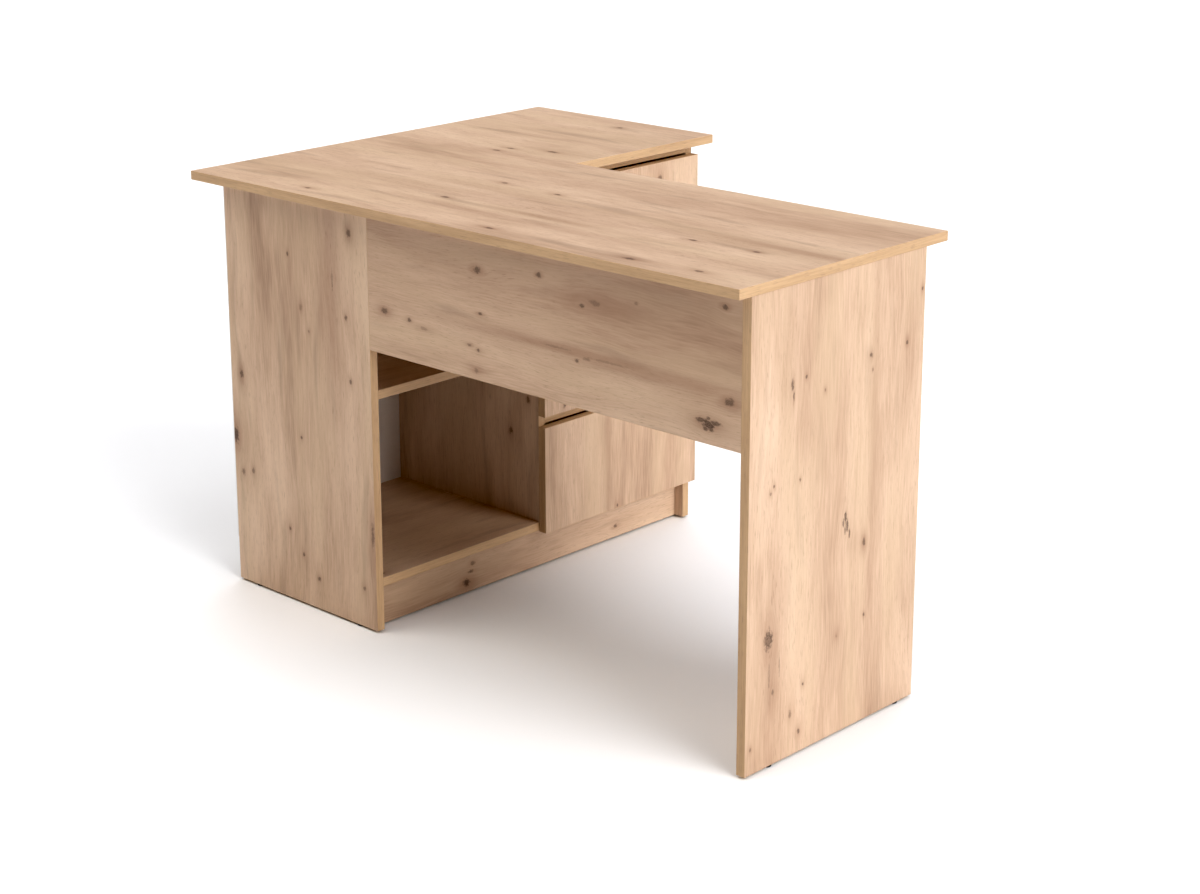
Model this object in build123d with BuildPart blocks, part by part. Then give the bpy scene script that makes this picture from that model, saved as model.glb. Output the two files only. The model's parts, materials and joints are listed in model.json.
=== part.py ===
from build123d import *
import os

# L-shaped corner desk. Millimetres, +Z up, origin on the floor under the middle of the desk's
# bounding box. +X is the cabinet end, -X the end panel, +Y the long side with the modesty panel,
# -Y the side the user sits at. The cabinet opens towards -X, into the knee space.

os.makedirs("parts", exist_ok=True)

# ---------------------------------------------------------------- driving dimensions
desk_length = 1240.0            # main arm, along X
desk_depth = 865.0              # return arm, along Y
desk_height = 755.0
main_arm_depth = 496.0
return_arm_width = 455.0
board = 16.0                    # melamine-faced board, every carcass piece and drawer front
hardboard = 3.0                 # cabinet back and drawer bottoms
top_edge_round = 1.0            # rounding of the desktop's edge band
edge_round = 0.5                # rounding of every other board's edge band

rear_overhang = 52.0            # desktop past the cabinet's rear edges, +X
outer_overhang = 30.0           # desktop past the cabinet and modesty panel, +Y
end_overhang = 2.0              # desktop past the end panel, -X
glide_height = 4.0

cabinet_depth = 374.0           # front edge to rear edge of the cabinet's sides
bay_width = 380.0               # clear width of the niche bay and of the drawer bay
bottom_board_top = 98.0
shelf_top = 432.0
plinth_setback = 21.0
back_panel_inset = 1.0          # back panel's rim inside the cabinet's outline

modesty_bottom = 505.0
end_panel_depth = 415.0

drawer_names = ["bottom", "middle", "top"]
rail_names = ["drawer_rail_lower", "drawer_rail_upper", "drawer_rail_top"]
front_bottom = 80.0             # lower edge of the lowest drawer front
front_height = 200.0
finger_gap = 20.0
front_standoff = 0.5            # closed front to the cabinet's front edges
rail_depth = 80.0
rail_gap_margin = 3.0           # rail's underside above the front below it

drawer_board = 12.0             # drawer sides and backs
box_above_front_edge = 40.0     # drawer box's lower edge above its front's lower edge
box_height = 130.0
box_length = 340.0
runner_clearance = 12.5         # drawer side to cabinet side
groove_height = 3.2
groove_depth = 5.0
groove_above_box_edge = 8.0
bottom_panel_play = 0.1

# fittings
cam_radius = 7.4
cam_bore_radius = 7.5
cam_recess = 0.2                # cam's face below the board's face
cam_floor = 3.5                 # wood left behind the cam
cam_pocket_start = 1.5          # bolt pocket's start, past the cam's axis
cam_slot = (8.0, 1.4, 4.0)      # each arm of the screwdriver's cross
cam_bolt_setback = 34.0         # cam's axis from the seam
cam_bolt_radius = 3.0
cam_bolt_channel_radius = 3.5
cam_bolt_hold = 11.0            # length of the bolt in the board it is screwed into
cam_bolt_fit = 0.02             # radial play of a screwed stem in its bore
cam_bolt_stem = 25.0            # seam to neck
cam_bolt_neck = 5.0
cam_bolt_neck_radius = 2.0
cam_bolt_head = 3.2
cam_bolt_head_radius = 3.3
dowel_radius = 4.0
dowel_bore_radius = 4.05
dowel_in_edge = 20.0            # dowel's length in the board joined by its edge
dowel_in_face = 10.0            # dowel's length in the board joined at its face
dowel_end_play = 0.5
back_screw_radius = 2.5
back_screw_head_radius = 4.4
back_screw_head_height = 3.0
back_screw_length = 40.0
back_screw_play = 0.05
back_screw_recess = 0.2
nail_radius = 0.8
nail_head_radius = 1.8
nail_head_height = 0.6
nail_length = 20.0
nail_play = 0.05
glide_radius = 7.0
glide_pin_radius = 1.5
glide_pin_length = 16.0
glide_pin_play = 0.05
glide_round = 1.0
blind_end = 0.5                 # bore's depth past the tip of a screw or nail

# where the fittings sit
cam_from_edge = 70.0            # cabinet's cams from its front and rear edges
dowel_from_edge = 35.0
divider_dowel_from_edge = 40.0
end_panel_cams = (90.0, 355.0)  # from the outer face along the end panel
end_panel_dowels = (50.0, 390.0)
end_panel_glides = (62.0, 377.0)
modesty_cam_from_end = 150.0
modesty_cam_above_bottom = 45.0
modesty_cam_below_top = 70.0
plinth_dowel_from_edge = 20.0
rail_dowel_from_edge = 20.0
cabinet_glide_from_edge = 50.0
nail_first = 60.0               # lowest nail above the bottom board
nail_pitch = 130.0
nail_rows = 5
bottom_nails = (100.0, 280.0)   # from each side's inner face
front_cam_heights = (45.0, 105.0)       # above the drawer box's lower edge
back_screw_heights = (40.0, 105.0)

# roller runners, measured across the gap from the cabinet side (out) and up from their base (up)
sheet = 1.2
runner_length = 350.0
runner_height = 34.0
runner_flange = 10.2
runner_front_setback = 3.0
runner_below_box = 8.0
carrier_inset = 2.5             # drawer-side profile's ends inside the box's length
carrier_bottom = 10.0
carrier_top = 26.0
carrier_flange_start = 3.6
roller_radius = 9.0
roller_bore_radius = 2.05
axle_radius = 2.0
axle_cap_radius = 3.2
axle_cap_height = 0.4
front_roller_setback = 14.0
front_roller_up = 15.5
front_roller_out = (1.7, 8.8)
rear_roller_setback = 11.0
rear_roller_up = 10.5
rear_roller_out = (3.9, 10.4)
axle_end_play = 0.2
runner_screw_radius = 1.7
runner_screw_head_radius = 3.0
runner_screw_head_height = 1.4
runner_screw_length = 12.0
runner_hole_radius = 1.9
carrier_screw_length = 10.0
cabinet_screw_up = 17.0
carrier_screw_up = 13.0
cabinet_screw_places = [40.0, 175.0, 320.0]
carrier_screw_places = [60.0, 260.0]
roller_tab_length = 9.0         # lug below the drawer's profile, in front of the rear axle
roller_tab_bottom = 4.0

# ---------------------------------------------------------------- where the boards stand
x_max = desk_length / 2
x_min = -desk_length / 2
y_max = desk_depth / 2
y_min = -desk_depth / 2
top_underside = desk_height - board

cabinet_rear = x_max - rear_overhang
cabinet_front = cabinet_rear - cabinet_depth
outer_face = y_max - outer_overhang
left_inner = outer_face - board
divider_left = left_inner - bay_width
divider_right = divider_left - board
right_inner = divider_right - bay_width
right_outer = right_inner - board
end_outer = x_min + end_overhang
end_inner = end_outer + board
front_pitch = front_height + finger_gap
rail_bottoms = [front_bottom + front_height + rail_gap_margin + step * front_pitch for step in range(3)]

X = Vector(1, 0, 0)
Y = Vector(0, 1, 0)
Z = Vector(0, 0, 1)

# ---------------------------------------------------------------- joints: bores and fittings
bores = {}                      # board name: [(mouth, direction into the wood, radius, depth)]
cam_places = {}                 # group: [(mouth, direction into the wood, direction to the seam, depth)]
bolt_places = {}                # group: [(seam point, direction into the cam's board)]
dowel_places = []               # [(seam point, direction)]


def add_bore(board_name, mouth, direction, radius, depth):
    bores.setdefault(board_name, []).append((mouth, direction, radius, depth))


def cam_joint(group, cam_board, bolt_board, seam, inward, cam_face, thickness=board):
    """A cam lock in cam_board draws in a bolt screwed into bolt_board.

    seam is the point on the seam at mid thickness, inward points into cam_board,
    cam_face is the outward normal of the face the cam is pressed into."""
    mouth = seam + inward * cam_bolt_setback + cam_face * (thickness / 2)
    depth = thickness - cam_floor
    add_bore(cam_board, mouth, -cam_face, cam_bore_radius, depth)
    add_bore(cam_board, seam, inward, cam_bolt_channel_radius, cam_bolt_setback)
    add_bore(bolt_board, seam, -inward, cam_bolt_radius, cam_bolt_hold)
    cam_places.setdefault(group, []).append((mouth, -cam_face, -inward, depth))
    bolt_places.setdefault(group, []).append((seam, inward))


def dowel_joint(first_board, second_board, seam, into_first):
    """A glued dowel across the seam, deeper in the first board, which is joined by its edge."""
    add_bore(first_board, seam, into_first, dowel_bore_radius, dowel_in_edge + dowel_end_play)
    add_bore(second_board, seam, -into_first, dowel_bore_radius, dowel_in_face + dowel_end_play)
    dowel_places.append((seam, into_first))


# desktop on its five upright boards
cam_along_cabinet = [cabinet_front + cam_from_edge, cabinet_rear - cam_from_edge]
dowel_along_cabinet = [cabinet_front + dowel_from_edge, cabinet_rear - dowel_from_edge]
for name, middle, face in [
    ("cabinet_left_side", outer_face - board / 2, -Y),
    ("cabinet_divider", divider_left - board / 2, -Y),
    ("cabinet_right_side", right_inner - board / 2, Y),
]:
    for x in cam_along_cabinet:
        cam_joint("desk", name, "desktop", Vector(x, middle, top_underside), -Z, face)
    for x in dowel_along_cabinet:
        dowel_joint(name, "desktop", Vector(x, middle, top_underside), -Z)
for place in end_panel_cams:
    seam = Vector(end_inner - board / 2, outer_face - place, top_underside)
    cam_joint("desk", "end_panel", "desktop", seam, -Z, X)
for place in end_panel_dowels:
    dowel_joint("end_panel", "desktop", Vector(end_inner - board / 2, outer_face - place, top_underside), -Z)
for x in [end_inner + modesty_cam_from_end, cabinet_front - modesty_cam_from_end]:
    cam_joint("desk", "modesty_panel", "desktop", Vector(x, outer_face - board / 2, top_underside), -Z, -Y)

# modesty panel between the end panel and the cabinet's left side
modesty_heights = [modesty_bottom + modesty_cam_above_bottom, top_underside - modesty_cam_below_top]
for z in modesty_heights:
    cam_joint("desk", "modesty_panel", "end_panel", Vector(end_inner, outer_face - board / 2, z), X, -Y)
    dowel_joint("modesty_panel", "cabinet_left_side", Vector(cabinet_front, outer_face - board / 2, z), -X)

# bottom board and niche shelf, cams from below
bottom_middle = bottom_board_top - board / 2
shelf_middle = shelf_top - board / 2
for x in cam_along_cabinet:
    for name, neighbour, wall, height, inward in [
        ("cabinet_bottom_board", "cabinet_left_side", left_inner, bottom_middle, -Y),
        ("cabinet_bottom_board", "cabinet_right_side", right_inner, bottom_middle, Y),
        ("niche_shelf", "cabinet_left_side", left_inner, shelf_middle, -Y),
        ("niche_shelf", "cabinet_divider", divider_left, shelf_middle, Y),
    ]:
        cam_joint("desk", name, neighbour, Vector(x, wall, height), inward, -Z)
divider_dowels = [
    cabinet_front + divider_dowel_from_edge,
    (cabinet_front + cabinet_rear) / 2,
    cabinet_rear - divider_dowel_from_edge,
]
for x in divider_dowels:
    seam = Vector(x, divider_left - board / 2, bottom_board_top)
    dowel_joint("cabinet_divider", "cabinet_bottom_board", seam, Z)

# plinth and drawer rails, dowels into both neighbours
plinth_middle = cabinet_front + plinth_setback + board / 2
for z in [glide_height + plinth_dowel_from_edge, bottom_board_top - board - plinth_dowel_from_edge]:
    dowel_joint("cabinet_plinth", "cabinet_left_side", Vector(plinth_middle, left_inner, z), -Y)
    dowel_joint("cabinet_plinth", "cabinet_right_side", Vector(plinth_middle, right_inner, z), Y)
for name, bottom in zip(rail_names, rail_bottoms):
    for x in [cabinet_front + rail_dowel_from_edge, cabinet_front + rail_depth - rail_dowel_from_edge]:
        dowel_joint(name, "cabinet_divider", Vector(x, divider_right, bottom + board / 2), -Y)
        dowel_joint(name, "cabinet_right_side", Vector(x, right_inner, bottom + board / 2), Y)

# glides nailed into the lower edges
glide_places = []
for name, x, y in [
    ("cabinet_left_side", cabinet_front + cabinet_glide_from_edge, outer_face - board / 2),
    ("cabinet_left_side", cabinet_rear - cabinet_glide_from_edge, outer_face - board / 2),
    ("cabinet_right_side", cabinet_front + cabinet_glide_from_edge, right_inner - board / 2),
    ("cabinet_right_side", cabinet_rear - cabinet_glide_from_edge, right_inner - board / 2),
    ("end_panel", end_inner - board / 2, outer_face - end_panel_glides[0]),
    ("end_panel", end_inner - board / 2, outer_face - end_panel_glides[1]),
]:
    seat = Vector(x, y, glide_height)
    glide_places.append(seat)
    add_bore(name, seat, Z, glide_pin_radius + glide_pin_play, glide_pin_length + blind_end)

# nails that hold the back panel on the rear edges
nail_places = []
nail_heights = [bottom_board_top + nail_first + step * nail_pitch for step in range(nail_rows)]
for name, y in [
    ("cabinet_left_side", outer_face - board / 2),
    ("cabinet_divider", divider_left - board / 2),
    ("cabinet_right_side", right_inner - board / 2),
]:
    for z in nail_heights:
        nail_places.append((name, Vector(cabinet_rear, y, z)))
for place in bottom_nails:
    nail_places.append(("cabinet_bottom_board", Vector(cabinet_rear, left_inner - place, bottom_middle)))
    nail_places.append(("cabinet_bottom_board", Vector(cabinet_rear, right_inner + place, bottom_middle)))
for name, seat in nail_places:
    add_bore(name, seat, -X, nail_radius + nail_play, nail_length - hardboard + blind_end)
    add_bore("cabinet_back_panel", seat + X * hardboard, -X, nail_radius + nail_play, hardboard)

# screws that hold the cabinet's runners on the divider and the right side
box_bottoms = [front_bottom + box_above_front_edge + step * front_pitch for step in range(3)]
runner_bases = [bottom - runner_below_box for bottom in box_bottoms]
runner_start = cabinet_front + runner_front_setback
for base in runner_bases:
    for place in cabinet_screw_places:
        for name, face, into in [
            ("cabinet_divider", divider_right, Y),
            ("cabinet_right_side", right_inner, -Y),
        ]:
            mouth = Vector(runner_start + place, face, base + cabinet_screw_up)
            add_bore(name, mouth, into, runner_screw_radius, runner_screw_length - sheet + blind_end)


# ---------------------------------------------------------------- makers
def save(piece, label):
    piece.part.label = label
    export_step(piece.part, f"parts/{label}.step")


def rod(start, direction, radius, length, mode=Mode.ADD):
    """A cylinder from start along direction, in the part being built."""
    with Locations(Plane(origin=start, z_dir=direction)):
        Cylinder(radius, length, align=(Align.CENTER, Align.CENTER, Align.MIN), mode=mode)


def block(x_span, y_span, z_span, mode=Mode.ADD):
    """A box between two values on each axis, in the part being built."""
    low = (min(x_span), min(y_span), min(z_span))
    size = [max(span) - min(span) for span in (x_span, y_span, z_span)]
    with Locations(low):
        Box(*size, align=(Align.MIN, Align.MIN, Align.MIN), mode=mode)


def cut_bores(board_name):
    for mouth, direction, radius, depth in bores.get(board_name, []):
        rod(mouth, direction, radius, depth, Mode.SUBTRACT)


def make_board(label, x_span, y_span, z_span):
    """A board with eased edge bands and the bores its joints need."""
    with BuildPart() as piece:
        block(x_span, y_span, z_span)
        fillet(piece.edges(), edge_round)
        cut_bores(label)
    save(piece, label)


def make_cams(label, group):
    """Cam locks with a cross slot and a pocket for the bolt's head."""
    with BuildPart() as cams:
        for mouth, into, to_seam, depth in cam_places[group]:
            rod(mouth + into * cam_recess, into, cam_radius, depth - 2 * cam_recess)
        for mouth, into, to_seam, depth in cam_places[group]:
            bolt_depth = (depth + cam_floor) / 2
            pocket_start = mouth + into * bolt_depth - to_seam * cam_pocket_start
            rod(pocket_start, to_seam, cam_bolt_channel_radius, 2 * cam_radius, Mode.SUBTRACT)
            arm, arm_width, arm_depth = cam_slot
            with Locations(Plane(origin=mouth, x_dir=to_seam, z_dir=into)):
                Box(arm, arm_width, arm_depth, mode=Mode.SUBTRACT)
                Box(arm_width, arm, arm_depth, mode=Mode.SUBTRACT)
    save(cams, label)


def make_cam_bolts(label, group):
    """Bolts with a screwed end, a neck and a head that sits inside the cam."""
    with BuildPart() as cam_bolts:
        for seam, inward in bolt_places[group]:
            tip = seam - inward * (cam_bolt_hold - blind_end)
            neck = seam + inward * cam_bolt_stem
            rod(tip, inward, cam_bolt_radius - cam_bolt_fit, cam_bolt_hold - blind_end + cam_bolt_stem)
            rod(neck, inward, cam_bolt_neck_radius, cam_bolt_neck)
            rod(neck + inward * cam_bolt_neck, inward, cam_bolt_head_radius, cam_bolt_head)
    save(cam_bolts, label)


# ---------------------------------------------------------------- desktop
with BuildPart() as desktop:
    with BuildSketch(Plane.XY.offset(top_underside)):
        with BuildLine():
            Polyline(
                (x_min, y_max),
                (x_max, y_max),
                (x_max, y_min),
                (x_max - return_arm_width, y_min),
                (x_max - return_arm_width, y_max - main_arm_depth),
                (x_min, y_max - main_arm_depth),
                close=True,
            )
        make_face()
    extrude(amount=board)
    rims = desktop.faces().sort_by(Axis.Z)[-1].edges() + desktop.faces().sort_by(Axis.Z)[0].edges()
    fillet(rims, top_edge_round)
    cut_bores("desktop")
save(desktop, "desktop")

# ---------------------------------------------------------------- fixed boards
upright = (glide_height, top_underside)
cabinet_span = (cabinet_front, cabinet_rear)
make_board("cabinet_left_side", cabinet_span, (left_inner, outer_face), upright)
make_board("cabinet_divider", cabinet_span, (divider_right, divider_left), (bottom_board_top, top_underside))
make_board("cabinet_right_side", cabinet_span, (right_outer, right_inner), upright)
make_board("cabinet_bottom_board", cabinet_span, (right_inner, left_inner),
           (bottom_board_top - board, bottom_board_top))
make_board("cabinet_plinth", (plinth_middle - board / 2, plinth_middle + board / 2),
           (right_inner, left_inner), (glide_height, bottom_board_top - board))
make_board("niche_shelf", cabinet_span, (divider_left, left_inner), (shelf_top - board, shelf_top))
make_board("modesty_panel", (end_inner, cabinet_front), (left_inner, outer_face),
           (modesty_bottom, top_underside))
make_board("end_panel", (end_outer, end_inner), (outer_face - end_panel_depth, outer_face), upright)
for name, bottom in zip(rail_names, rail_bottoms):
    make_board(name, (cabinet_front, cabinet_front + rail_depth), (right_inner, divider_right),
               (bottom, bottom + board))

with BuildPart() as cabinet_back_panel:
    block((cabinet_rear, cabinet_rear + hardboard),
          (right_outer + back_panel_inset, outer_face - back_panel_inset),
          (bottom_board_top - board + back_panel_inset, top_underside - back_panel_inset))
    cut_bores("cabinet_back_panel")
save(cabinet_back_panel, "cabinet_back_panel")

# ---------------------------------------------------------------- the desk's fittings
make_cams("cam_locks", "desk")
make_cam_bolts("cam_bolts", "desk")

with BuildPart() as dowels:
    for seam, direction in dowel_places:
        rod(seam - direction * dowel_in_face, direction, dowel_radius, dowel_in_face + dowel_in_edge)
save(dowels, "dowels")

with BuildPart() as floor_glides:
    for seat in glide_places:
        rod(seat, -Z, glide_radius, glide_height)
        rod(seat, Z, glide_pin_radius, glide_pin_length)
    fillet(floor_glides.faces().sort_by(Axis.Z)[0:len(glide_places)].edges(), glide_round)
save(floor_glides, "floor_glides")

with BuildPart() as back_panel_nails:
    for name, seat in nail_places:
        rod(seat + X * hardboard, -X, nail_radius, nail_length)
        rod(seat + X * hardboard, X, nail_head_radius, nail_head_height)
save(back_panel_nails, "back_panel_nails")


# ---------------------------------------------------------------- roller runners
def runner_sides():
    """The two walls of the drawer bay: the wall's face, and the way across the gap to the drawer."""
    return [(divider_right, -1), (right_inner, 1)]


def across(wall, way, span):
    """A span measured out from the wall, as a span of Y."""
    return (wall + way * span[0], wall + way * span[1])


def axle(x, z, wall, way, root, tip):
    """A riveted axle with a cap at its tip, from root to tip across the gap."""
    sense = way if tip > root else -way
    rod(Vector(x, wall + way * root, z), Y * sense, axle_radius, abs(tip - root))
    rod(Vector(x, wall + way * tip, z), Y * sense, axle_cap_radius, axle_cap_height)


def roller(x, z, wall, way, span):
    start = Vector(x, wall + way * span[0], z)
    rod(start, Y * way, roller_radius, span[1] - span[0])
    rod(start, Y * way, roller_bore_radius, span[1] - span[0], Mode.SUBTRACT)


def pan_screw(seat, into, length):
    """A pan-head screw whose head rests at seat."""
    rod(seat, into, runner_screw_radius - 0.02, length)
    rod(seat, -into, runner_screw_head_radius, runner_screw_head_height)


front_roller_x = runner_start + front_roller_setback
for drawer_name, base in zip(drawer_names, runner_bases):
    with BuildPart() as cabinet_runners:
        for wall, way in runner_sides():
            web = across(wall, way, (0, sheet))
            flange = across(wall, way, (0, runner_flange))
            length = (runner_start, runner_start + runner_length)
            block(length, web, (base, base + runner_height))
            block(length, flange, (base, base + sheet))
            block(length, flange, (base + runner_height - sheet, base + runner_height))
            axle(front_roller_x, base + front_roller_up, wall, way, sheet,
                 front_roller_out[1] + axle_end_play)
            for place in cabinet_screw_places:
                rod(Vector(runner_start + place, wall, base + cabinet_screw_up), Y * way,
                    runner_hole_radius, sheet, Mode.SUBTRACT)
    save(cabinet_runners, f"cabinet_runners_{drawer_name}")

with BuildPart() as cabinet_runner_rollers:
    for base in runner_bases:
        for wall, way in runner_sides():
            roller(front_roller_x, base + front_roller_up, wall, way, front_roller_out)
save(cabinet_runner_rollers, "cabinet_runner_rollers")

with BuildPart() as cabinet_runner_screws:
    for base in runner_bases:
        for wall, way in runner_sides():
            for place in cabinet_screw_places:
                seat = Vector(runner_start + place, wall + way * sheet, base + cabinet_screw_up)
                pan_screw(seat, Y * -way, runner_screw_length)
save(cabinet_runner_screws, "cabinet_runner_screws")

# ---------------------------------------------------------------- drawers, closed
front_span = (cabinet_front - front_standoff - board, cabinet_front - front_standoff)
box_front = front_span[1]
box_rear = box_front + box_length
box_left = divider_right - runner_clearance
box_right = right_inner + runner_clearance
carrier_span = (box_front + carrier_inset, box_rear - carrier_inset)
rear_roller_x = carrier_span[1] - rear_roller_setback

for drawer_name, box_bottom, base in zip(drawer_names, box_bottoms, runner_bases):
    prefix = f"drawer_{drawer_name}"
    front = f"{prefix}_front"
    left_side = f"{prefix}_left_side"
    right_side = f"{prefix}_right_side"
    back = f"{prefix}_back"
    front_low = box_bottom - box_above_front_edge
    box_top = box_bottom + box_height
    groove = (box_bottom + groove_above_box_edge, box_bottom + groove_above_box_edge + groove_height)
    groove_left = box_left - drawer_board + groove_depth
    groove_right = box_right + drawer_board - groove_depth

    for name, outer, inward in [(left_side, box_left, -Y), (right_side, box_right, Y)]:
        for height in front_cam_heights:
            seam = Vector(box_front, outer, box_bottom + height) + inward * (drawer_board / 2)
            cam_joint(prefix, name, front, seam, X, inward, drawer_board)
        for height in back_screw_heights:
            mouth = Vector(box_rear - drawer_board / 2, outer, box_bottom + height)
            bore_length = back_screw_length + blind_end
            add_bore(name, mouth, inward, back_screw_head_radius + back_screw_play, back_screw_head_height)
            add_bore(name, mouth, inward, back_screw_radius + back_screw_play, bore_length)
            add_bore(back, mouth, inward, back_screw_radius + back_screw_play, bore_length)
        for place in carrier_screw_places:
            mouth = Vector(carrier_span[0] + place, outer, base + carrier_screw_up)
            add_bore(name, mouth, inward, runner_screw_radius, carrier_screw_length - sheet + blind_end)

    with BuildPart() as drawer_front:
        block(front_span, (right_outer, divider_left), (front_low, front_low + front_height))
        fillet(drawer_front.edges(), edge_round)
        block((box_front - groove_depth, box_front), (groove_left, groove_right), groove, Mode.SUBTRACT)
        cut_bores(front)
    save(drawer_front, front)

    for name, outer, inner in [
        (left_side, box_left, box_left - drawer_board),
        (right_side, box_right, box_right + drawer_board),
    ]:
        groove_wall = inner + groove_depth * (1 if outer > inner else -1)
        with BuildPart() as drawer_side:
            block((box_front, box_rear), (outer, inner), (box_bottom, box_top))
            fillet(drawer_side.edges(), edge_round)
            block((box_front, box_rear), (inner, groove_wall), groove, Mode.SUBTRACT)
            cut_bores(name)
        save(drawer_side, name)

    with BuildPart() as drawer_back:
        block((box_rear - drawer_board, box_rear), (box_right + drawer_board, box_left - drawer_board),
              (groove[1], box_top))
        fillet(drawer_back.edges(), edge_round)
        cut_bores(back)
    save(drawer_back, back)

    with BuildPart() as drawer_bottom_panel:
        block((box_front - groove_depth + bottom_panel_play, box_rear),
              (groove_left - bottom_panel_play, groove_right + bottom_panel_play),
              (groove[0] + bottom_panel_play, groove[1] - bottom_panel_play))
    save(drawer_bottom_panel, f"{prefix}_bottom_panel")

    make_cams(f"{prefix}_cam_locks", prefix)
    make_cam_bolts(f"{prefix}_cam_bolts", prefix)

    with BuildPart() as back_screws:
        for outer, inward in [(box_left, -Y), (box_right, Y)]:
            for height in back_screw_heights:
                mouth = Vector(box_rear - drawer_board / 2, outer, box_bottom + height)
                head = mouth + inward * back_screw_recess
                rod(head, inward, back_screw_head_radius, back_screw_head_height - back_screw_recess)
                rod(head, inward, back_screw_radius, back_screw_length - back_screw_recess)
    save(back_screws, f"{prefix}_back_screws")

    with BuildPart() as drawer_runners:
        for wall, way in runner_sides():
            web = across(wall, way, (runner_clearance - sheet, runner_clearance))
            flange = across(wall, way, (carrier_flange_start, runner_clearance))
            block(carrier_span, web, (base + carrier_bottom, base + carrier_top))
            block(carrier_span, flange, (base + carrier_top - sheet, base + carrier_top))
            block((rear_roller_x - roller_tab_length, carrier_span[1]), web,
                  (base + roller_tab_bottom, base + carrier_bottom))
            axle(rear_roller_x, base + rear_roller_up, wall, way, runner_clearance - sheet,
                 rear_roller_out[0] - axle_end_play)
            for place in carrier_screw_places:
                rod(Vector(carrier_span[0] + place, wall + way * (runner_clearance - sheet),
                           base + carrier_screw_up), Y * way, runner_hole_radius, sheet, Mode.SUBTRACT)
    save(drawer_runners, f"{prefix}_runners")

    with BuildPart() as drawer_rollers:
        for wall, way in runner_sides():
            roller(rear_roller_x, base + rear_roller_up, wall, way, rear_roller_out)
    save(drawer_rollers, f"{prefix}_rollers")

    with BuildPart() as drawer_runner_screws:
        for wall, way in runner_sides():
            for place in carrier_screw_places:
                seat = Vector(carrier_span[0] + place, wall + way * (runner_clearance - sheet),
                              base + carrier_screw_up)
                pan_screw(seat, Y * way, carrier_screw_length)
    save(drawer_runner_screws, f"{prefix}_runner_screws")
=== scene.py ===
import json
import math

import bmesh
import bpy
from mathutils import Matrix, Vector


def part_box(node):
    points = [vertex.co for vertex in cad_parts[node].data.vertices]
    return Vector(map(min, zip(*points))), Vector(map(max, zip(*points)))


# Corner desk in light knotty oak board. Metres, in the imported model's frame: +X is the cabinet end,
# -X the end panel, +Y the long outer side. Knots and smears are given in millimetres.

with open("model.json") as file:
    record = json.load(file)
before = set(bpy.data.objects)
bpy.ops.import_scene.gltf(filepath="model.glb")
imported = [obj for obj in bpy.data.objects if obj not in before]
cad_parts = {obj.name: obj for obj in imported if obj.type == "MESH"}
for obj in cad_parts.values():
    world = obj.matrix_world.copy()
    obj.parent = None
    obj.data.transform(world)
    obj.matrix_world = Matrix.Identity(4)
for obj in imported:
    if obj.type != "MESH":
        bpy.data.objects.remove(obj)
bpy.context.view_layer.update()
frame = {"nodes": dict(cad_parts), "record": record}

AXES = {"X": 0, "Y": 1, "Z": 2}
DRAWERS = ["bottom", "middle", "top"]
FLOAT = "NodeSocketFloat"
COLOUR = "NodeSocketColor"

# ---------------------------------------------------------------- colours
OAK_LIGHT = (0.682, 0.512, 0.380, 1)
OAK_MID = (0.602, 0.437, 0.316, 1)
OAK_SHADE = (0.520, 0.364, 0.256, 1)
OAK_DARK = (0.410, 0.277, 0.190, 1)
OAK_STRAW = (0.632, 0.480, 0.334, 1)
PORE = (0.300, 0.200, 0.138, 1)
KNOT = (0.090, 0.050, 0.030, 1)
KNOT_HALO = (0.335, 0.196, 0.125, 1)
GREY_MARK = (0.385, 0.272, 0.194, 1)
EDGE_LIGHT = (0.600, 0.418, 0.252, 1)
EDGE_DARK = (0.500, 0.334, 0.196, 1)
SEAM = (0.330, 0.225, 0.150, 1)
FLOOR_DIM = (0.890, 0.897, 0.905, 1)
FLOOR_PALE = (0.910, 0.917, 0.925, 1)
SURROUND = (1.0, 0.995, 0.985, 1)

# ---------------------------------------------------------------- oak: driving values
# Each layer of the grain: ripples per metre along and across it, detail, and an offset in depth
# that keeps two layers apart.
GRAIN_LAYERS = {
    "bands": (1.5, 8.0, 3.0, 0.0),
    "figure": (5.0, 24.0, 3.0, 0.0),
    "streaks": (8.0, 85.0, 2.0, 0.0),
    "fibres": (20.0, 420.0, 2.0, 0.0),
    "pores": (55.0, 900.0, 1.0, 0.0),
    "hue": (2.2, 15.0, 2.0, 31.0),
    "smoke": (4.6, 36.0, 2.0, 57.0),
}
BAND_STRENGTH = 1.30
FIGURE_STRENGTH = 0.72
STREAK_STRENGTH = 0.42
FIBRE_STRENGTH = 0.62
PORE_STRENGTH = 0.42
TONE_STOPS = [(0.10, OAK_DARK), (0.34, OAK_SHADE), (0.54, OAK_MID), (0.80, OAK_LIGHT)]
# How the grain wavers: ripples per metre along and across it, detail, and width in metres.
GRAIN_WAVER = [(1.7, 5.0, 2.0, 0.055), (9.0, 26.0, 1.0, 0.009)]
LAYER_DEPTH_STEP = 9.0      # keeps the grain of two depths apart

KNOT_RAGGED = 1.7           # how uneven a knot's outline is, in units of its size
HALO_RAGGED = 1.2
RING_RATE = 15.0            # growth rings inside a knot
KNOT_DARK = 0.74            # a usual knot's darkness
KNOT_STAIN = 0.60           # and the strength of its halo
HALO_NEAR = (0.34, 0.75)    # how fast the halo fades, and its strength, close to the knot
HALO_SKIRT = (0.055, 0.42)  # and farther out
HALO_SHARE = 0.72           # of the halo's colour in the strongest halo
WARP_FADE = 0.16            # how fast the bend of the grain fades away from a knot
WARP_BASE = 0.20            # how far any mark bends the grain; dark ones bend it more
WARP_BY_DARKNESS = 0.42

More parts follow.
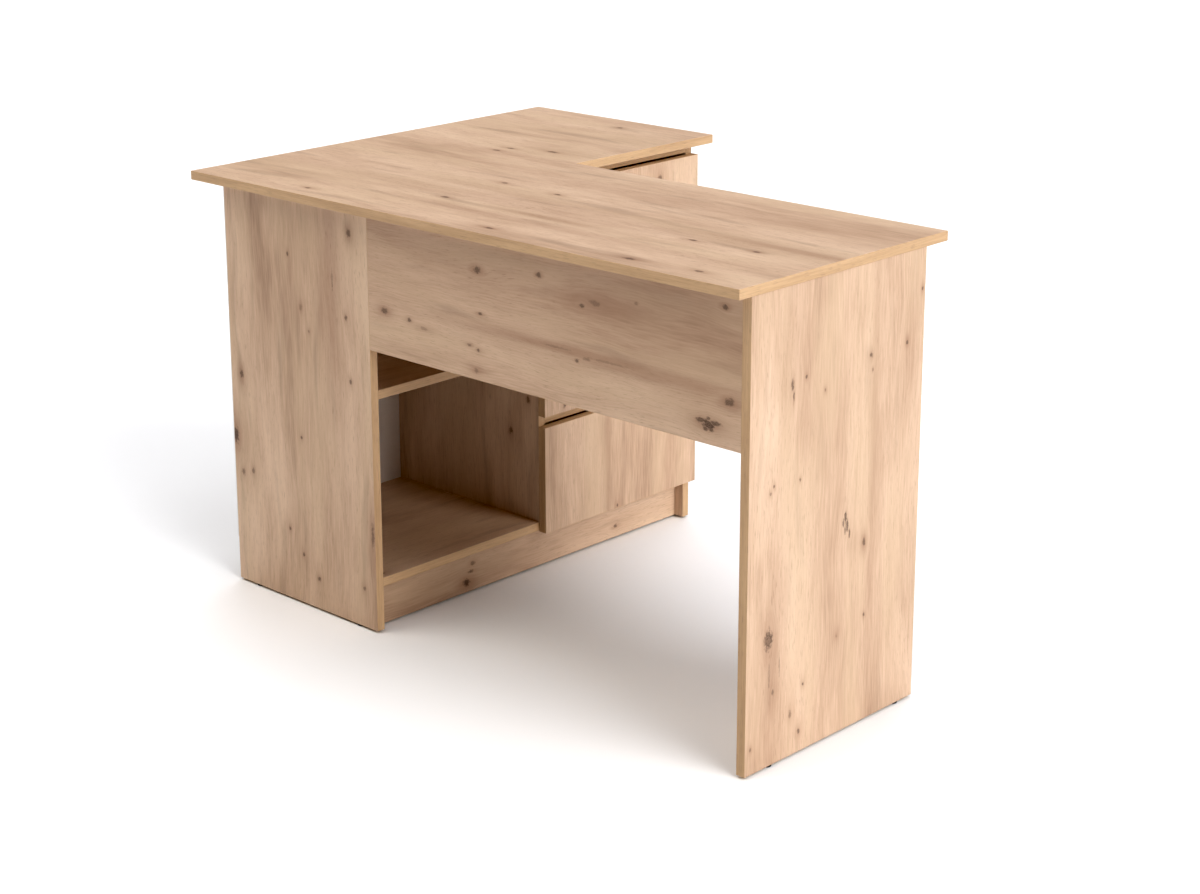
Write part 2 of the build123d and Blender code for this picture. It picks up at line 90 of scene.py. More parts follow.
SEED_STEP = 1.37            # between the random patterns of two boards
SEED_ACROSS = 0.7           # the share of a board's seed that shifts its grain sideways
SIDE_SEED = 7.3             # between the random knots of a board's two sides
CELLS_ALONG = 3.6           # cells for random knots, per metre
CELLS_ACROSS = 7.0
EMPTY_CELLS = 0.60          # the share of cells without a knot
KNOT_HALF_WIDTH = (0.0022, 0.0060)
KNOT_STRETCH = (1.1, 2.4)
KNOT_HOLLOW = 0.15
RAGGED_ALONG = 210.0        # the unevenness of knots, ripples per metre
RAGGED_ACROSS = 260.0
NO_MARK = {"Dark so far": 0.0, "Halo so far": 0.0, "Warp so far": 0.0}

RIM_WIDTH = 0.0016          # painted highlight along the outline of a face: its width
# The strength of the painted rim highlight, a lighter line along each face's outline.
RIM_HIGHLIGHT = 0.45
RIM_HIGHLIGHT_PATCHES = 55.0         # patches of the painted rim highlight, per metre
SEAM_WIDTH = 0.0006         # glue line beside an edge band
SEAM_DARKNESS = 0.60
OAK_BUMP = {"Strength": 0.30, "Distance": 0.0004}
OAK_GLOSS = 0.35
ON_FACE = (0.55, 0.8)       # the normal's share across a board, from edge band to face

# ---------------------------------------------------------------- fittings: driving values
# Each slot that isn't oak: dull colour, bright colour, grain per metre, range of roughness, bump, metallic.
FITTINGS = {
    "hardboard_white": ((0.785, 0.752, 0.727), (0.82, 0.79, 0.765), 420.0, (0.38, 0.52), 0.12, 0.0),
    "zinc": ((0.42, 0.42, 0.42), (0.62, 0.62, 0.60), 900.0, (0.38, 0.62), 0.25, 1.0),
    "steel": ((0.55, 0.54, 0.52), (0.74, 0.73, 0.70), 1500.0, (0.22, 0.40), 0.12, 1.0),
    "beech": ((0.56, 0.38, 0.25), (0.72, 0.54, 0.38), 700.0, (0.50, 0.68), 0.30, 0.0),
    "black_plastic": ((0.016, 0.016, 0.017), (0.030, 0.030, 0.032), 1300.0, (0.40, 0.62), 0.25, 0.0),
    "white_plastic": ((0.70, 0.69, 0.66), (0.80, 0.79, 0.77), 1100.0, (0.30, 0.45), 0.10, 0.0),
    "runner_white": ((0.74, 0.74, 0.72), (0.84, 0.84, 0.82), 650.0, (0.28, 0.42), 0.22, 0.0),
}
CLOUDS = 38.0               # per metre
FITTING_RELIEF = 0.0003

# ---------------------------------------------------------------- stage: driving values
# Each soft light: azimuth and elevation it shines from, spread in degrees, strength and tint.
LIGHTS = {
    "overhead": (0.0, 90.0, 70.0, 1.08, (0.98, 1.01, 1.08)),
    "side_low": (180.0, 22.0, 44.0, 2.40, (1.0, 0.995, 0.99)),
    "side_high": (180.0, 52.0, 44.0, 1.05, (1.0, 1.0, 1.01)),
    "outer_fill": (60.0, 52.0, 44.0, 1.06, (1.0, 0.905, 0.780)),
    "inner_fill": (300.0, 52.0, 44.0, 0.92, (0.98, 1.0, 1.05)),
}
SURROUND_STRENGTH = 0.02
FLOOR_HALF = 40.0
CAMERA_PLACE = (-2.638, 2.874, 1.563)
CAMERA_YAW = -45.0
CAMERA_PITCH = 15.3         # below the horizon
CAMERA_ROLL = -0.595
CAMERA_LENS = 70.55         # in mm, on a 36 mm sensor
CAMERA_SENSOR = 36.0
CAMERA_SHIFT = (0.0637, -0.0975)
CAMERA_CLIP = (0.05, 100.0)
VIEW_GAMMA = 0.84
BLACK_LEVEL = 0.017


# ---------------------------------------------------------------- wiring node trees
class Graph:
    """A node tree being wired. Most methods add one node and return its output socket."""

    def __init__(self, tree):
        self.tree = tree

    def node(self, kind, inputs, **settings):
        """Adds a node. An input is a number, a colour or a socket to link."""
        made = self.tree.nodes.new(kind)
        for key, value in settings.items():
            setattr(made, key, value)
        for key, value in inputs.items():
            if isinstance(value, bpy.types.NodeSocket):
                self.tree.links.new(value, made.inputs[key])
            else:
                made.inputs[key].default_value = value
        return made

    def math(self, operation, first, second=0.0, third=0.0):
        return self.node("ShaderNodeMath", {0: first, 1: second, 2: third}, operation=operation).outputs[0]

    def add(self, first, second):
        return self.math("ADD", first, second)

    def times(self, first, second):
        return self.math("MULTIPLY", first, second)

    def vector(self, x, y, z):
        return self.node("ShaderNodeCombineXYZ", {0: x, 1: y, 2: z}).outputs[0]

    def noise(self, place, scale=1.0, detail=2.0, roughness=0.5):
        inputs = {"Vector": place, "Scale": scale, "Detail": detail, "Roughness": roughness}
        return self.node("ShaderNodeTexNoise", inputs).outputs[0]

    def span(self, value, low, high, to_low=0.0, to_high=1.0, kind="SMOOTHSTEP"):
        """Maps low..high to to_low..to_high, clamped, with soft ends."""
        inputs = {"Value": value, "From Min": low, "From Max": high, "To Min": to_low, "To Max": to_high}
        return self.node("ShaderNodeMapRange", inputs, interpolation_type=kind).outputs[0]

    def mix(self, factor, first, second):
        return self.node("ShaderNodeMix", {0: factor, 6: first, 7: second}, data_type="RGBA").outputs[2]

    def blend(self, factor, first, second):
        return self.node("ShaderNodeMix", {0: factor, 2: first, 3: second}, data_type="FLOAT").outputs[0]

    def ramp(self, value, stops):
        made = self.node("ShaderNodeValToRGB", {0: value})
        elements = made.color_ramp.elements
        while len(elements) < len(stops):
            elements.new(0.5)
        for element, (position, colour) in zip(elements, stops):
            element.position = position
            element.color = colour
        return made.outputs[0]

    def bump(self, relief, height):
        """A normal from a height; relief holds the bump's Strength and Distance."""
        return self.node("ShaderNodeBump", {**relief, "Height": height}).outputs[0]

    def group(self, tree, inputs):
        """Places a node group and returns all its outputs."""
        return self.node("ShaderNodeGroup", inputs, node_tree=tree).outputs

    def send(self, values, sockets):
        """Links each value to the socket of that name."""
        for key, value in values.items():
            self.tree.links.new(value, sockets[key])


def new_group(name, inputs, outputs):
    """A node group with float inputs; outputs maps each name to its socket type."""
    tree = bpy.data.node_groups.new(name, "ShaderNodeTree")
    for label in inputs:
        tree.interface.new_socket(label, in_out="INPUT", socket_type=FLOAT)
    for label, kind in outputs.items():
        tree.interface.new_socket(label, in_out="OUTPUT", socket_type=kind)
    graph = Graph(tree)
    given = tree.nodes.new("NodeGroupInput").outputs
    result = tree.nodes.new("NodeGroupOutput").inputs
    return tree, graph, given, result


# ---------------------------------------------------------------- oak: groups that the boards share
def make_grain_group():
    """Straight oak grain: broad bands, figure, streaks, fibres and short dark pores, along one axis.

    Contrast scales the bands, figure and streaks, and Smoke the grey-brown marks."""
    tree, g, given, result = new_group(
        "oak_grain", ["Along", "Across", "Depth", "Contrast", "Smoke"],
        {"Color": COLOUR, "Height": FLOAT, "Roughness": FLOAT})
    along, across, depth = given["Along"], given["Across"], given["Depth"]
    wavy = across
    for per_along, per_across, detail, width in GRAIN_WAVER:
        place = g.vector(g.times(along, per_along), g.times(across, per_across), depth)
        waver = g.noise(place, detail=detail)
        wavy = g.add(wavy, g.times(g.add(waver, -0.5), width))

    def layer(per_along, per_across, detail, offset):
        deep = g.math("MULTIPLY_ADD", depth, LAYER_DEPTH_STEP, offset)
        return g.noise(g.vector(g.times(along, per_along), g.times(wavy, per_across), deep), detail=detail)

    made = {name: layer(*numbers) for name, numbers in GRAIN_LAYERS.items()}
    change = g.times(g.add(made["bands"], -0.5), BAND_STRENGTH)
    change = g.add(change, g.times(g.add(made["figure"], -0.5), FIGURE_STRENGTH))
    change = g.add(change, g.times(g.add(made["streaks"], -0.5), STREAK_STRENGTH))
    tone = g.add(0.5, g.times(change, given["Contrast"]))
    tone = g.add(tone, g.times(g.add(made["fibres"], -0.5), FIBRE_STRENGTH))
    colour = g.ramp(tone, TONE_STOPS)
    colour = g.mix(g.span(made["hue"], 0.42, 0.66, 0.0, 0.42), colour, OAK_STRAW)
    smoky = g.times(g.span(made["smoke"], 0.56, 0.78), given["Smoke"])
    colour = g.mix(smoky, colour, GREY_MARK)
    porous = g.span(made["bands"], 0.35, 0.6, 0.35, 1.0)
    pore = g.times(g.span(made["pores"], 0.61, 0.72), porous)
    rough = g.add(0.40, g.times(made["streaks"], 0.14))
    g.send({
        "Color": g.mix(g.times(pore, PORE_STRENGTH), colour, PORE),
        "Height": g.add(g.times(made["fibres"], 0.5), g.times(pore, -0.8)),
        "Roughness": g.add(rough, g.times(pore, 0.16)),
    }, result)
    return tree


def make_knot_group():
    """One knot: adds its darkness, its halo and the way the grain flows round it to the running values."""
    tree, g, given, result = new_group(
        "oak_knot",
        ["Along", "Across", "Ragged", "At along", "At across", "Size", "Stretch", "Dark", "Halo", "Hollow",
         *NO_MARK],
        {name: FLOAT for name in NO_MARK})
    off_along = g.math("SUBTRACT", given["Along"], given["At along"])
    off_across = g.math("SUBTRACT", given["Across"], given["At across"])
    long_side = g.times(given["Size"], given["Stretch"])
    u = g.math("DIVIDE", off_along, long_side)
    v = g.math("DIVIDE", off_across, given["Size"])
    reach = g.math("SQRT", g.add(g.times(u, u), g.times(v, v)))
    uneven = g.add(reach, g.times(g.add(given["Ragged"], -0.5), KNOT_RAGGED))
    core = g.span(uneven, 0.50, 1.25, 1.0, 0.0)
    rings = g.span(g.math("SINE", g.times(uneven, RING_RATE)), -1.0, 1.0, 0.75, 1.0)
    heart = g.times(g.span(uneven, 0.25, 0.80, 1.0, 0.0), given["Hollow"])
    dark = g.times(g.times(core, rings), g.times(given["Dark"], g.math("SUBTRACT", 1.0, heart)))
    spread = g.add(g.times(g.times(u, u), 0.45), g.times(v, v))
    spread = g.add(spread, g.times(g.add(given["Ragged"], -0.5), HALO_RAGGED))
    spread = g.math("MAXIMUM", spread, 0.0)

    def faded(fade, strength):
        return g.times(g.math("EXPONENT", g.times(spread, -fade)), strength)

    stain = g.math("MINIMUM", g.add(faded(*HALO_NEAR), faded(*HALO_SKIRT)), 1.0)
    halo = g.times(stain, given["Halo"])
    bend = g.math("EXPONENT", g.times(g.times(reach, reach), -WARP_FADE))
    pull = g.math("MULTIPLY_ADD", given["Dark"], -WARP_BY_DARKNESS, -WARP_BASE)
    warp = g.times(g.times(off_across, bend), pull)
    g.send({
        "Dark so far": g.math("MAXIMUM", dark, given["Dark so far"]),
        "Halo so far": g.math("MAXIMUM", halo, given["Halo so far"]),
        "Warp so far": g.add(warp, given["Warp so far"]),
    }, result)
    return tree


def make_edge_group():
    """Edge band: plainer and yellower than the faces, with fine lines along the edge."""
    tree, g, given, result = new_group(
        "oak_edge_band", ["Along", "Across", "Depth"],
        {"Color": COLOUR, "Height": FLOAT, "Roughness": FLOAT})
    along, across, depth = given["Along"], given["Across"], given["Depth"]

    def layer(per_face, per_depth, detail):
        place = g.vector(g.times(along, per_face), g.times(across, per_face), g.times(depth, per_depth))
        return g.noise(place, detail=detail)

    soft = layer(4.0, 70.0, 2.0)
    lines = layer(12.0, 620.0, 2.0)
    flecks = layer(55.0, 1100.0, 0.0)
    tone = g.add(g.times(soft, 0.9), g.times(lines, 0.6))
    colour = g.mix(g.span(tone, 0.50, 1.0), EDGE_DARK, EDGE_LIGHT)
    fleck = g.span(flecks, 0.64, 0.74)
    colour = g.mix(g.times(fleck, 0.35), colour, PORE)
    g.send({
        "Color": colour,
        "Height": g.add(g.times(lines, 0.4), g.times(fleck, -0.5)),
        "Roughness": g.add(0.36, g.times(soft, 0.14)),
    }, result)
    return tree


GRAIN_GROUP = make_grain_group()
KNOT_GROUP = make_knot_group()
EDGE_GROUP = make_edge_group()


# ---------------------------------------------------------------- oak: the marks on each board
def knot(along, across, size=4.0, stretch=1.3, dark=KNOT_DARK, halo=KNOT_STAIN, hollow=0.0):
    """A knot at a place on the board, in mm; size is its half-width across the grain."""
    return {"along": along, "across": across, "size": size, "stretch": stretch,
            "dark": dark, "halo": halo, "hollow": hollow}


def smear(start, end, across, width, strength):
    """A soft stain along the grain, from start to end."""
    half_width = width / 2
    half_length = abs(end - start) / 2
    return knot((start + end) / 2, across, half_width, half_length / half_width, 0.0, strength)


END_PANEL_MARKS = [
    knot(675, -5, 2.5), knot(597, 30, 3, halo=0.8), smear(545, 590, 18, 11, 0.45),
    knot(595, 120, 3.2), knot(572, 115, 2, dark=0.5), knot(595, 275, 2.4), knot(565, 230, 2, dark=0.5),
    knot(588, 307, 3.5, 2.5, 0.75), knot(572, 304, 2, 4.0, 0.7), smear(600, 690, 312, 22, 0.28),
    knot(440, 285, 2, dark=0.6), knot(445, 345, 2.3), knot(435, 353, 2, dark=0.5),
    smear(490, 530, 272, 24, 0.32), knot(352, 173, 3, 3.2, 0.85, 0.3), knot(344, 178, 2, 3.6, 0.8, 0.2),
    knot(338, 168, 3, 3.2, 0.85, 0.3), knot(331, 173, 2, 3.8, 0.8, 0.2), knot(324, 162, 2.2, 3.6, halo=0.3),
    knot(300, 125, 4.2, 1.5, halo=0.9), smear(296, 312, 140, 30, 0.3),
    knot(207, 352, 9, 1.9, 1.0, 0.7, 0.30), smear(225, 300, 335, 18, 0.4), smear(120, 195, 340, 15, 0.6),
    knot(150, 349, 1.6, 13.0, 0.42, 0.2), knot(158, 325, 1.6, 13.0, 0.42, 0.2),
    knot(121, 340, 2.6, 2.2, 0.6, 0.4), knot(180, 120, 2.3), knot(165, 188, 1.8, dark=0.35),
    knot(112, 268, 2.2), knot(72, 298, 3.2, 2.0, 0.5),
    knot(37, 276, 3.8), smear(20, 90, 340, 34, 0.3), knot(45, 390, 2.4, dark=0.6),
    smear(420, 720, 108, 9, 0.42),
]
MODESTY_MARKS = [
    knot(-65, 685, 6, 1.3, halo=0.9), knot(-200, 700, 4, halo=0.8), knot(-290, 668, 4, halo=0.9),
    smear(-360, -280, 676, 22, 0.85), knot(-318, 676, 5, 2.2, 0.45), smear(-460, 60, 702, 70, 0.42),
    smear(-600, -330, 648, 64, 0.36), knot(155, 580, 5.5, halo=0.9), knot(95, 575, 3.2),
    knot(60, 567, 3, 3.0, 0.3), knot(-70, 615, 2.5, 1.8), knot(-45, 560, 2.4, 2.0, 0.6), knot(-65, 555, 2.6),
    knot(-60, 520, 4, dark=0.4), knot(-280, 580, 3.8), knot(-300, 586, 3, 2.4, 0.5),
    knot(-400, 690, 3, dark=0.4), smear(-365, -195, 592, 10, 0.9), smear(-500, -330, 588, 16, 0.75),
    smear(-460, -420, 586, 26, 0.25),
    knot(-236, 593, 1.8, 17.0, 0.30, 0.3), knot(-345, 589, 2, 19.0, 0.28, 0.3),
    knot(-570, 715, 4, halo=0.8), knot(-580, 577, 6, 1.4, halo=1.0),
    knot(-541, 535, 7, 1.8, 0.95, 0.9), knot(-528, 539, 3.8, 3.0, 0.85, 0.3),
    knot(-554, 539, 3.8, 3.0, 0.85, 0.3), knot(-535, 528, 3.4, 1.3, 0.85, 0.3),
    knot(-547, 528, 3.4, 1.3, 0.85, 0.3), knot(-541, 545, 3, 1.2, 0.75, 0.3),
]
LEFT_SIDE_MARKS = [
    knot(697, 240, 5.2, 1.3, halo=0.9), knot(636, 400, 3), smear(600, 634, 396, 8, 0.4),
    smear(560, 700, 288, 22, 0.70), knot(610, 285, 1.8, 11.0, 0.5), knot(550, 253, 3.8),
    knot(548, 370, 4, dark=0.35), knot(395, 540, 5, 1.6, halo=0.9), knot(440, 245, 3.4),
    knot(278, 564, 9, 1.6, 1.0, 1.0), knot(212, 546, 4.8, dark=0.6), knot(220, 518, 4.2, dark=0.6),
    knot(312, 380, 2.6), knot(508, 350, 2.5, dark=0.5), knot(135, 420, 2.8), knot(95, 385, 3.0),
    knot(60, 345, 4.2, 0.9), knot(75, 225, 3.4, dark=0.6), knot(175, 200, 4, 6.0, 0.6),
]
DESKTOP_MARKS = [
    knot(355, 390, 4), knot(130, 285, 5, 1.8), knot(137, 140, 4, 1.8), knot(5, 148, 4, 1.8),
    smear(-145, -75, 286, 11, 0.8), knot(-88, 397, 4.5, 2.2, halo=0.8), knot(-384, 400, 5, 2.2, halo=0.8),
    knot(-375, 248, 4, 2.0), knot(-510, 390, 4, 2.0), knot(-495, 243, 4, 2.0, halo=0.8),
    smear(-600, -480, 200, 16, 0.8), smear(-470, -330, 225, 22, 0.45), knot(355, -55, 4, 2.4),
    knot(350, -85, 4, 2.4), knot(267, -110, 5, 2.4), knot(340, -367, 5), smear(-420, -180, 60, 34, 0.40),
    smear(20, 330, 250, 30, 0.40), smear(-250, 30, 330, 16, 0.40), smear(-60, 180, 190, 20, 0.38),
]
PLINTH_MARKS = [
    knot(172, 22, 8, 1.1, 1.0, 1.0), knot(160, 40, 3, 2.4, 0.8), knot(155, 55, 4, 1.6, 0.6),
    smear(60, 330, 35, 44, 0.30), knot(-220, 25, 4),
]
DIVIDER_MARKS = [knot(325, 220, 5), knot(258, 265, 5)]
FRONT_MARKS = {
    "bottom": [smear(95, 240, -160, 8, 0.50), smear(100, 150, -328, 12, 0.35), knot(85, -185, 3),
               smear(215, 255, -300, 14, 0.25)],
    "middle": [knot(313, -45, 4), knot(420, -250, 5), smear(330, 460, -120, 12, 0.35)],
    "top": [knot(600, -90, 5), knot(690, -300, 5), smear(560, 700, -215, 10, 0.35)],
}


def board(grain, marks=(), side_seen=0, contrast=1.0, smoke=0.5, shift=0.0):
    """How a board is dressed: its grain axis, its marks, the side that carries them and its figure.

    side_seen is 1 for the side towards the positive axis and -1 for the other. shift picks another
    stretch of the random grain."""
    return {"grain": grain, "marks": marks, "side_seen": side_seen,
            "contrast": contrast, "smoke": smoke, "shift": shift}


def oak_plan():
    """Every oak node and its dress."""
    plan = {
        "desktop": board("X", DESKTOP_MARKS, 1, 0.80, 0.60, 13.6),
        "modesty_panel": board("X", MODESTY_MARKS, 1, 0.90, 0.45, 18.2),
        "cabinet_left_side": board("Z", LEFT_SIDE_MARKS, 1, 1.15, 0.50, 24.8),
        "cabinet_divider": board("Z", DIVIDER_MARKS, 1),
        "cabinet_right_side": board("Z"),
        "end_panel": board("Z", END_PANEL_MARKS, -1, 0.78, 0.22, 35.8),
        "cabinet_plinth": board("Y", PLINTH_MARKS, -1, shift=12.2),
        "niche_shelf": board("Y"),
        "cabinet_bottom_board": board("Y"),
    }
    for place in ["lower", "upper", "top"]:
        plan[f"drawer_rail_{place}"] = board("Y")
    for drawer in DRAWERS:
        plan[f"drawer_{drawer}_front"] = board("Z", FRONT_MARKS[drawer], -1, 0.90, 0.35, 21.4)
        plan[f"drawer_{drawer}_left_side"] = board("X")
        plan[f"drawer_{drawer}_right_side"] = board("X")
        plan[f"drawer_{drawer}_back"] = board("Y")
    return plan


# ---------------------------------------------------------------- materials
def new_material(name):
    """A new material, its graph and its shader."""
    material = bpy.data.materials.new(name)
    material.use_nodes = True
    graph = Graph(material.node_tree)
    shader = material.node_tree.nodes["Principled BSDF"]
    return material, graph, shader


def object_axes(graph):
    """The object position as a vector, its three coordinates, and the normal's three parts."""
    place = graph.node("ShaderNodeTexCoord", {}).outputs
    coordinates = graph.node("ShaderNodeSeparateXYZ", {0: place["Object"]}).outputs
    normal = graph.node("ShaderNodeSeparateXYZ", {0: place["Normal"]}).outputs
    return place["Object"], coordinates, normal


def scatter_knots(graph, along, across, side, seed, ragged):
    """Small knots in random cells of the board, other ones on each side."""
    shift = graph.add(graph.times(side, SIDE_SEED), seed)
    place = graph.vector(graph.add(graph.times(along, CELLS_ALONG), shift),
                         graph.add(graph.times(across, CELLS_ACROSS), shift), 0.0)
    cells = graph.node("ShaderNodeTexVoronoi", {"Vector": place, "Scale": 1.0},
                       voronoi_dimensions="2D").outputs
    centre = graph.node("ShaderNodeSeparateXYZ", {0: cells["Position"]}).outputs
    chance = graph.node("ShaderNodeSeparateColor", {0: cells["Color"]}).outputs
    present = graph.math("GREATER_THAN", chance[0], EMPTY_CELLS)
    return graph.group(KNOT_GROUP, {
        "Along": along, "Across": across, "Ragged": ragged,
        "At along": graph.math("DIVIDE", graph.math("SUBTRACT", centre[0], shift), CELLS_ALONG),
        "At across": graph.math("DIVIDE", graph.math("SUBTRACT", centre[1], shift), CELLS_ACROSS),
        "Size": graph.span(chance[1], 0.0, 1.0, *KNOT_HALF_WIDTH, "LINEAR"),
        "Stretch": graph.span(chance[2], 0.0, 1.0, *KNOT_STRETCH, "LINEAR"),
        "Dark": graph.times(present, KNOT_DARK), "Halo": graph.times(present, KNOT_STAIN),
        "Hollow": KNOT_HOLLOW, **NO_MARK,
    })


def nearest_outline(graph, place, low, high, axes):
    """The distance to the nearest side of the board's box, over the given axes."""
    nearest = 1.0
    for axis in axes:
        nearest = graph.math("MINIMUM", nearest, graph.math("SUBTRACT", place[axis], low[axis]))
        nearest = graph.math("MINIMUM", nearest, graph.math("SUBTRACT", high[axis], place[axis]))
    return nearest


def board_knots(graph, marks, along, across, side, side_seen, seed):
    """The knots of both sides: the listed marks on the side seen, random ones elsewhere."""
    torn = graph.vector(graph.times(along, RAGGED_ALONG), graph.times(across, RAGGED_ACROSS), seed)
    ragged = graph.noise(torn, detail=3.0)
    scattered = scatter_knots(graph, along, across, side, seed, ragged)
    if not marks:
        return {key: scattered[key] for key in NO_MARK}
    running = NO_MARK
    for mark in marks:
        made = graph.group(KNOT_GROUP, {
            "Along": along, "Across": across, "Ragged": ragged,
            "At along": mark["along"] / 1000, "At across": mark["across"] / 1000,
            "Size": mark["size"] / 1000, "Stretch": mark["stretch"],
            "Dark": mark["dark"], "Halo": mark["halo"], "Hollow": mark["hollow"], **running,
        })
        running = {key: made[key] for key in NO_MARK}
    seen = side if side_seen > 0 else graph.math("SUBTRACT", 1.0, side)
    return {key: graph.blend(seen, scattered[key], running[key]) for key in NO_MARK}


def oak(node, dress_of, seed):
    """Oak decor for one board: grain, its knots, a painted highlight along each face's outline, and edge
    bands on its narrow faces.
    """
    material, g, shader = new_material(f"oak_{node}")
    low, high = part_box(node)
    size = high - low
    thin = min(range(3), key=lambda axis: size[axis])
    along_axis = AXES[dress_of["grain"]]
    across_axis = 3 - thin - along_axis
    _, place, normal = object_axes(g)
    along, across, depth = place[along_axis], place[across_axis], place[thin]
    side = g.math("GREATER_THAN", depth, (low[thin] + high[thin]) / 2)
    knots = board_knots(g, dress_of["marks"], along, across, side, dress_of["side_seen"], seed)

    wood = g.group(GRAIN_GROUP, {
        "Along": g.add(along, seed),
        "Across": g.add(g.add(across, knots["Warp so far"]), seed * SEED_ACROSS),
        "Depth": g.add(side, seed), "Contrast": dress_of["contrast"], "Smoke": dress_of["smoke"],
    })
    stained = g.mix(g.times(knots["Halo so far"], HALO_SHARE), wood["Color"], KNOT_HALO)
    stained = g.mix(knots["Dark so far"], stained, KNOT)
    # Painted highlight: a lighter, patchy line in edge-band colour along the outline of each face; the same
    # rim also dips the bump and roughens it slightly.
    patchy = g.span(g.noise(g.vector(along, across, depth), RIM_HIGHLIGHT_PATCHES), 0.35, 0.65)
    outline = nearest_outline(g, place, low, high, [along_axis, across_axis])
    highlight_rim = g.times(g.span(outline, RIM_WIDTH / 3, RIM_WIDTH, 1.0, 0.0), patchy)
    stained = g.mix(g.times(highlight_rim, RIM_HIGHLIGHT), stained, EDGE_LIGHT)

    band = g.group(EDGE_GROUP, {"Along": g.add(along, seed), "Across": across, "Depth": g.add(depth, seed)})
    faces = nearest_outline(g, place, low, high, [thin])
    seam = g.span(faces, SEAM_WIDTH / 3, SEAM_WIDTH, 1.0, 0.0)
    banded = g.mix(g.times(seam, SEAM_DARKNESS), band["Color"], SEAM)

    on_face = g.span(g.math("ABSOLUTE", normal[thin]), *ON_FACE)
    face_height = g.math("MULTIPLY_ADD", highlight_rim, -0.6, wood["Height"])
    band_height = g.math("MULTIPLY_ADD", seam, -0.8, band["Height"])
    face_rough = g.math("MULTIPLY_ADD", highlight_rim, 0.10, wood["Roughness"])
    height = g.blend(on_face, band_height, face_height)
    g.send({
        "Base Color": g.mix(on_face, banded, stained),
        "Roughness": g.blend(on_face, band["Roughness"], face_rough),
        "Normal": g.bump(OAK_BUMP, height),
    }, shader.inputs)
    shader.inputs["Specular IOR Level"].default_value = OAK_GLOSS
    return material


def mottled(name, dull, bright, grain_scale, rough, bump, metallic):
    """A surface with cloudy colour, fine grain and uneven gloss, between a dull and a bright colour."""
    material, g, shader = new_material(name)
    place, _, _ = object_axes(g)
    clouds = g.noise(place, CLOUDS, 4.0)
    fine = g.noise(place, grain_scale, 3.0, 0.6)
    tone = g.add(g.times(clouds, 0.5), g.times(fine, 0.5))
    g.send({
        "Base Color": g.mix(g.span(tone, 0.35, 0.65), (*dull, 1), (*bright, 1)),
        "Roughness": g.span(fine, 0.3, 0.7, *rough),
        "Normal": g.bump({"Strength": bump, "Distance": FITTING_RELIEF}, fine),
    }, shader.inputs)
    shader.inputs["Metallic"].default_value = metallic
    return material


def dress(node, material):
    """Gives a CAD node's object a material."""
    for slot in frame["nodes"][node].material_slots:
        slot.material = material


def dress_desk():
    """Oak for each board of the plan, and the slot's material for every other node."""
    fittings = {slot: mottled(slot, *look) for slot, look in FITTINGS.items()}
    plan = oak_plan()
    slots = {row["node"]: row["material_slot"] for row in frame["record"]["subparts"]}
    for number, node in enumerate(sorted(frame["nodes"])):
        if node in plan:
            dress(node, oak(node, plan[node], SEED_STEP * (number + 1) + plan[node]["shift"]))
        else:
            dress(node, fittings[slots[node]])


# ---------------------------------------------------------------- stage
def make_floor():
    """A wide pale floor at z = 0."""
    mesh = bpy.data.meshes.new("floor")
    form = bmesh.new()
    corners = [form.verts.new((x * FLOOR_HALF, y * FLOOR_HALF, 0.0))
               for x, y in [(-1, -1), (1, -1), (1, 1), (-1, 1)]]
    form.faces.new(corners)
    form.to_mesh(mesh)
    form.free()
    floor = bpy.data.objects.new("floor", mesh)
    bpy.context.collection.objects.link(floor)
    material, g, shader = new_material("pale_floor")
    place, _, _ = object_axes(g)
    haze = g.noise(place, 3.0, 3.0)
    g.send({
        "Base Color": g.mix(haze, FLOOR_DIM, FLOOR_PALE),
        "Roughness": g.span(haze, 0.3, 0.7, 0.80, 0.95),
    }, shader.inputs)
    shader.inputs["Specular IOR Level"].default_value = 0.0
    mesh.materials.append(material)


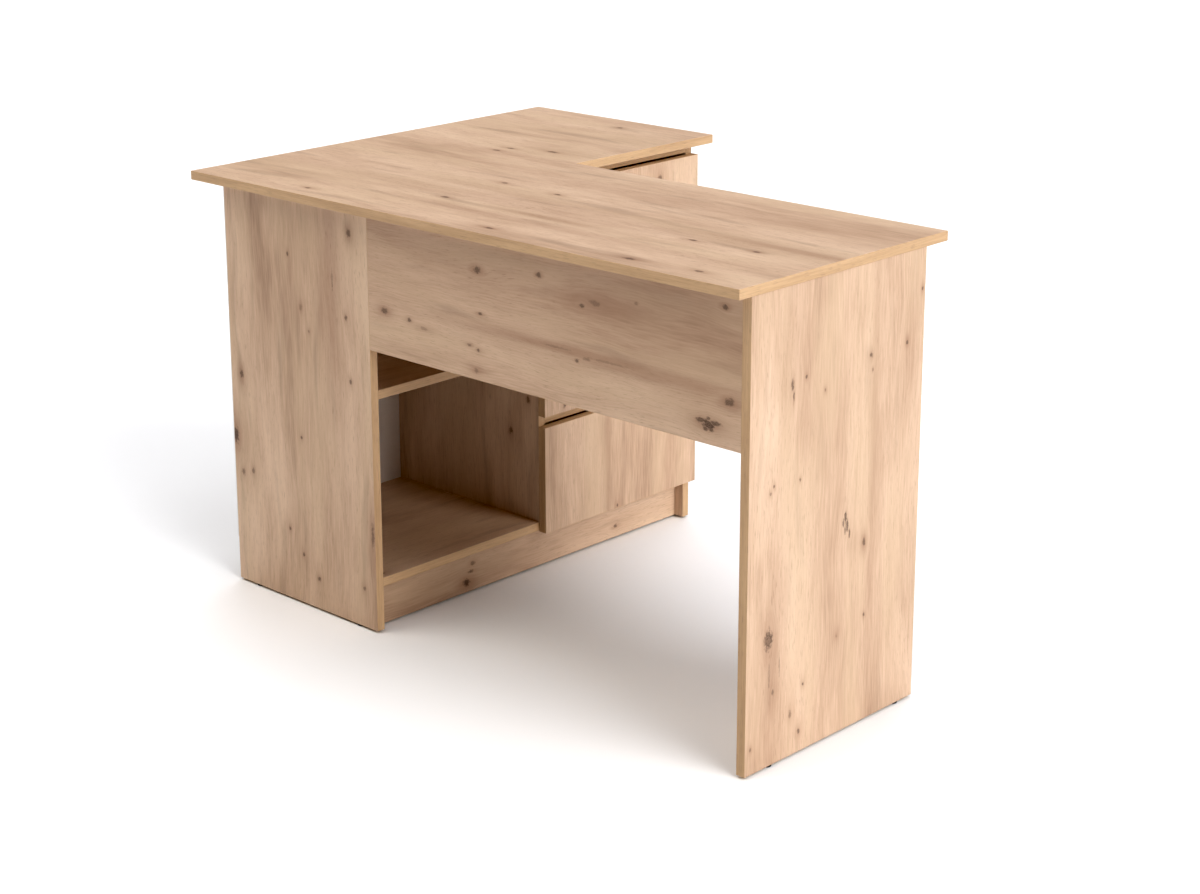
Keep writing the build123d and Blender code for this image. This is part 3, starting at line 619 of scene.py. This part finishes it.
def make_world():
    """A faint even light from all around."""
    world = bpy.data.worlds.new("soft_surround")
    world.use_nodes = True
    background = world.node_tree.nodes["Background"]
    background.inputs["Color"].default_value = SURROUND
    background.inputs["Strength"].default_value = SURROUND_STRENGTH
    bpy.context.scene.world = world


def make_sun(name, azimuth, elevation, spread, strength, tint):
    """A very soft directional light that shines from azimuth, counted from +X towards +Y."""
    light = bpy.data.lights.new(name, "SUN")
    light.energy = strength
    light.angle = math.radians(spread)
    light.color = tint
    lamp = bpy.data.objects.new(name, light)
    turn, rise = math.radians(azimuth), math.radians(elevation)
    source = Vector((math.cos(turn) * math.cos(rise), math.sin(turn) * math.cos(rise), math.sin(rise)))
    lamp.rotation_mode = "QUATERNION"
    lamp.rotation_quaternion = source.to_track_quat("Z", "Y")
    bpy.context.collection.objects.link(lamp)


def make_camera():
    """The camera stands off the outer corner of the end panel and looks along +X and -Y."""
    yaw, pitch, roll = math.radians(CAMERA_YAW), math.radians(CAMERA_PITCH), math.radians(CAMERA_ROLL)
    forward = Vector((math.cos(yaw) * math.cos(pitch), math.sin(yaw) * math.cos(pitch), -math.sin(pitch)))
    level = Vector((math.sin(yaw), -math.cos(yaw), 0.0))
    up = level.cross(forward)
    right = level * math.cos(roll) + up * math.sin(roll)
    top = up * math.cos(roll) - level * math.sin(roll)
    lens = bpy.data.cameras.new("camera")
    lens.sensor_width = CAMERA_SENSOR
    lens.lens = CAMERA_LENS
    lens.shift_x, lens.shift_y = CAMERA_SHIFT
    lens.clip_start, lens.clip_end = CAMERA_CLIP
    camera = bpy.data.objects.new("camera", lens)
    turned = Matrix((right, top, -forward)).transposed().to_4x4()
    camera.matrix_world = Matrix.Translation(CAMERA_PLACE) @ turned
    bpy.context.collection.objects.link(camera)
    bpy.context.scene.camera = camera


def set_view():
    """More contrast than the plain display, with slightly deeper blacks."""
    view = bpy.context.scene.view_settings
    view.view_transform = "Standard"
    view.gamma = VIEW_GAMMA
    view.use_curve_mapping = True
    view.curve_mapping.black_level = (BLACK_LEVEL, BLACK_LEVEL, BLACK_LEVEL)
    view.curve_mapping.update()


dress_desk()
make_floor()
make_world()
for light_name, light_look in LIGHTS.items():
    make_sun(light_name, *light_look)
make_camera()
set_view()
